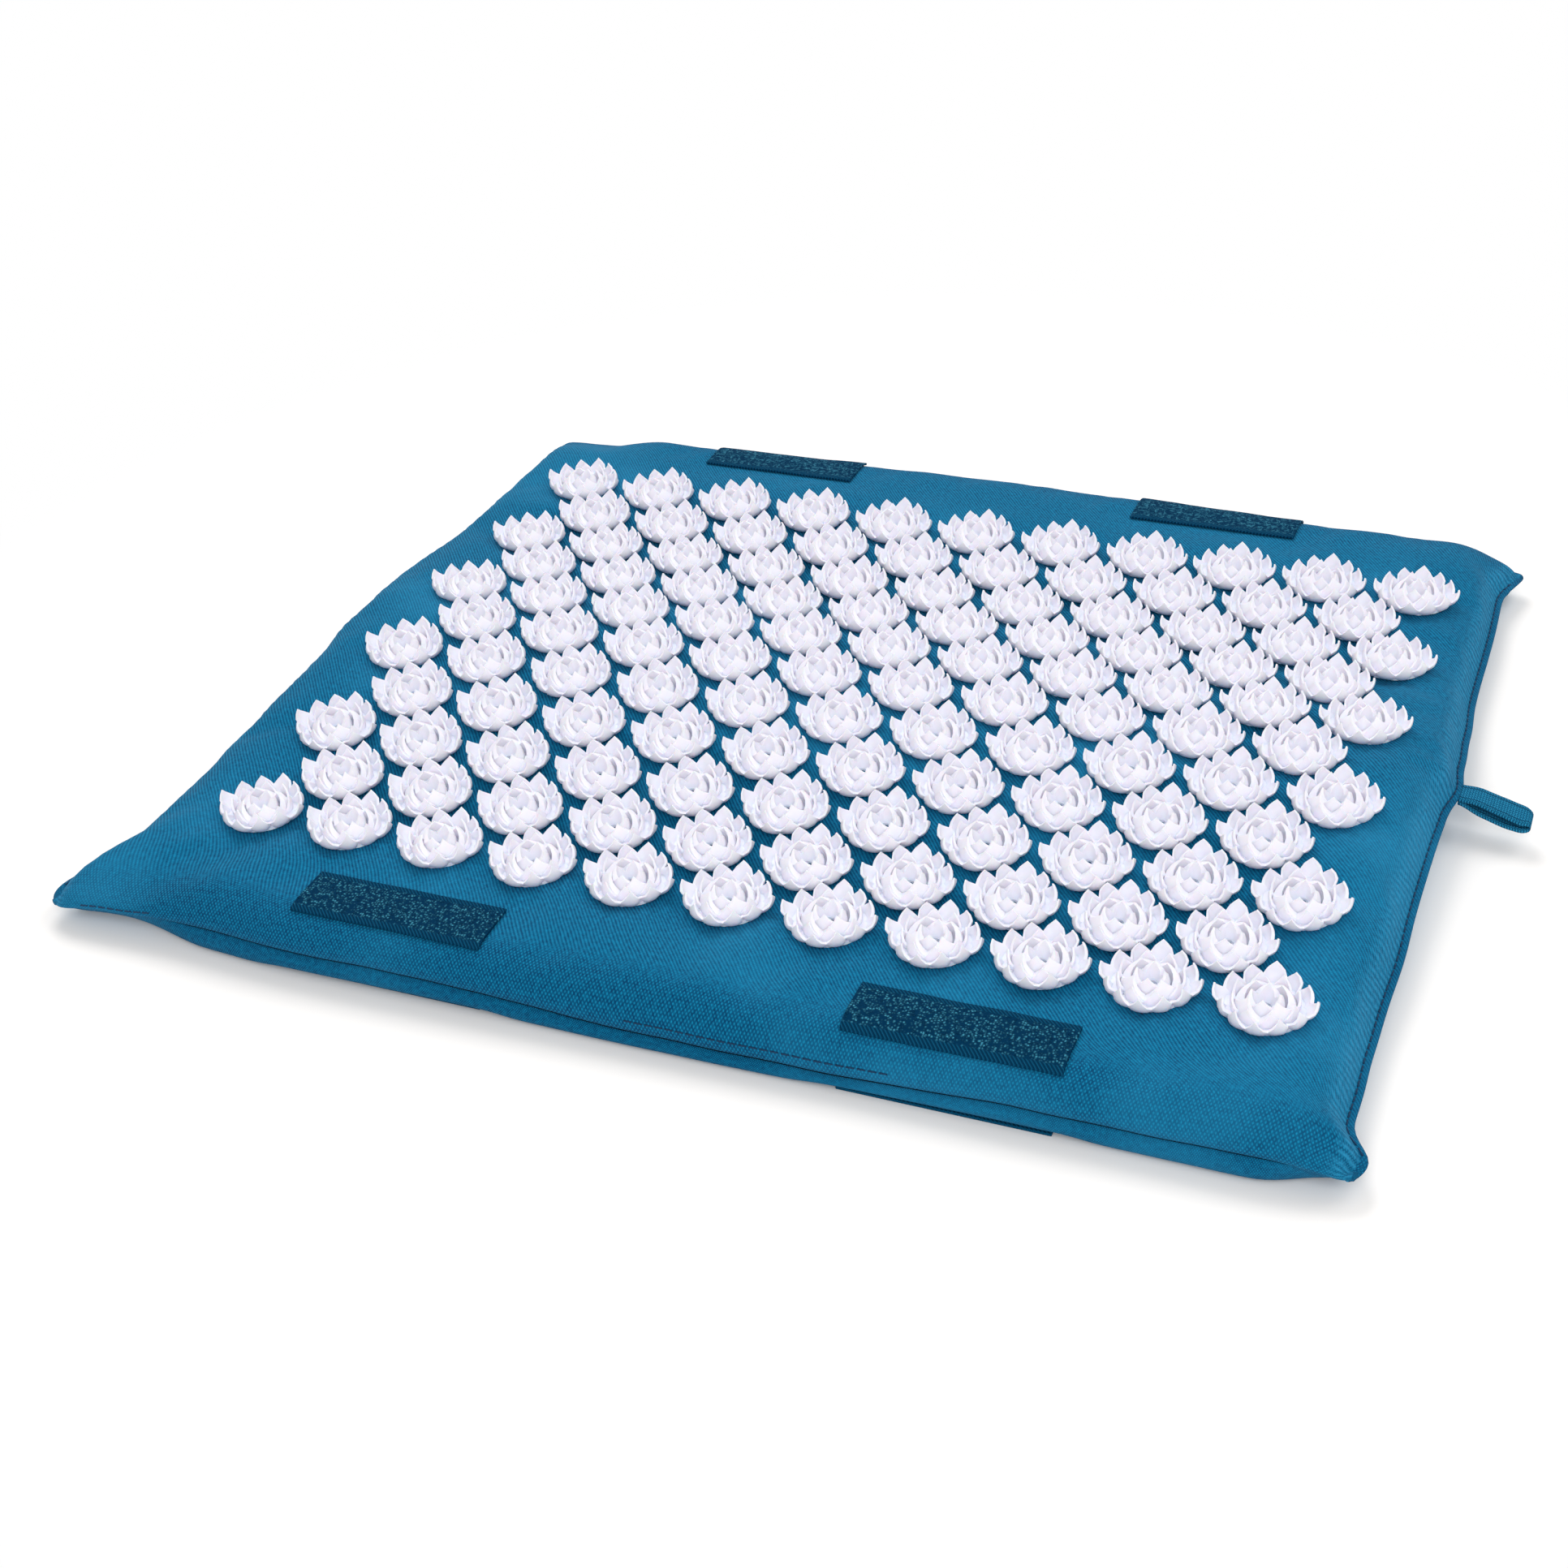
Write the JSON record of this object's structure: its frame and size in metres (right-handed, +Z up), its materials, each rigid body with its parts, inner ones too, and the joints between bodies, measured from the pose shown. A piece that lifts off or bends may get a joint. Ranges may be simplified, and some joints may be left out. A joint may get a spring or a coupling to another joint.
{
  "type": "acupressure mat",
  "caption": "Rectangular acupressure mat: a padded cotton cover set with staggered rows of pointed plastic lotus discs, with hook-and-loop strips and a side hanging loop.",
  "frame": {"origin": "middle of the flat underside, on the floor that the mat lies on", "axes": "+X along the front edge towards the side with the hanging loop, +Y from the front edge to the back edge, +Z up"},
  "size_m": [0.4457, 0.355, 0.0343],
  "materials": {
    "cotton_canvas": "matte",
    "cotton_tape": "matte",
    "hook_and_loop": "matte",
    "foam": "matte",
    "white_plastic": "satin"
  },
  "bodies": {
    "mat": {"bottom_panel": "cotton_canvas", "foam_core": "foam", "lotus_disc_r01_c01": "white_plastic", "lotus_disc_r01_c02": "white_plastic", "lotus_disc_r01_c03": "white_plastic", "lotus_disc_r01_c04": "white_plastic", "lotus_disc_r01_c05": "white_plastic", "lotus_disc_r01_c06": "white_plastic", "lotus_disc_r01_c07": "white_plastic", "lotus_disc_r01_c08": "white_plastic", "lotus_disc_r01_c09": "white_plastic", "lotus_disc_r01_c10": "white_plastic", "lotus_disc_r01_c11": "white_plastic", "lotus_disc_r02_c01": "white_plastic", "lotus_disc_r02_c10": "white_plastic", "lotus_disc_r03_c01": "white_plastic", "lotus_disc_r03_c11": "white_plastic", "lotus_disc_r04_c01": "white_plastic", "lotus_disc_r04_c10": "white_plastic", "lotus_disc_r05_c01": "white_plastic", "lotus_disc_r05_c11": "white_plastic", "lotus_disc_r06_c01": "white_plastic", "lotus_disc_r06_c10": "white_plastic", "lotus_disc_r07_c01": "white_plastic", "lotus_disc_r07_c11": "white_plastic", "lotus_disc_r08_c01": "white_plastic", "lotus_disc_r08_c10": "white_plastic", "lotus_disc_r09_c01": "white_plastic", "lotus_disc_r09_c11": "white_plastic", "lotus_disc_r10_c01": "white_plastic", "lotus_disc_r10_c10": "white_plastic", "lotus_disc_r11_c01": "white_plastic", "lotus_disc_r11_c02": "white_plastic", "lotus_disc_r11_c03": "white_plastic", "lotus_disc_r11_c04": "white_plastic", "lotus_disc_r11_c05": "white_plastic", "lotus_disc_r11_c06": "white_plastic", "lotus_disc_r11_c07": "white_plastic", "lotus_disc_r11_c08": "white_plastic", "lotus_disc_r11_c09": "white_plastic", "lotus_disc_r11_c10": "white_plastic", "lotus_disc_r11_c11": "white_plastic", "top_panel": "cotton_canvas", "top_strip_back_left": "hook_and_loop", "top_strip_back_right": "hook_and_loop", "top_strip_front_left": "hook_and_loop", "top_strip_front_right": "hook_and_loop", "underside_strip_back_left": "hook_and_loop", "underside_strip_back_right": "hook_and_loop", "underside_strip_front_left": "hook_and_loop", "underside_strip_front_right": "hook_and_loop"},
    "hanging_loop": {"hanging_loop": "cotton_tape"}
  },
  "joints": [
    {"name": "loop_hinge", "type": "hinge", "parent": "mat", "child": "hanging_loop", "pos_m": [0.21139, 0.01, 0.0131], "axis": [0, -1, 0], "range_deg": [-12, 90]}
  ]
}
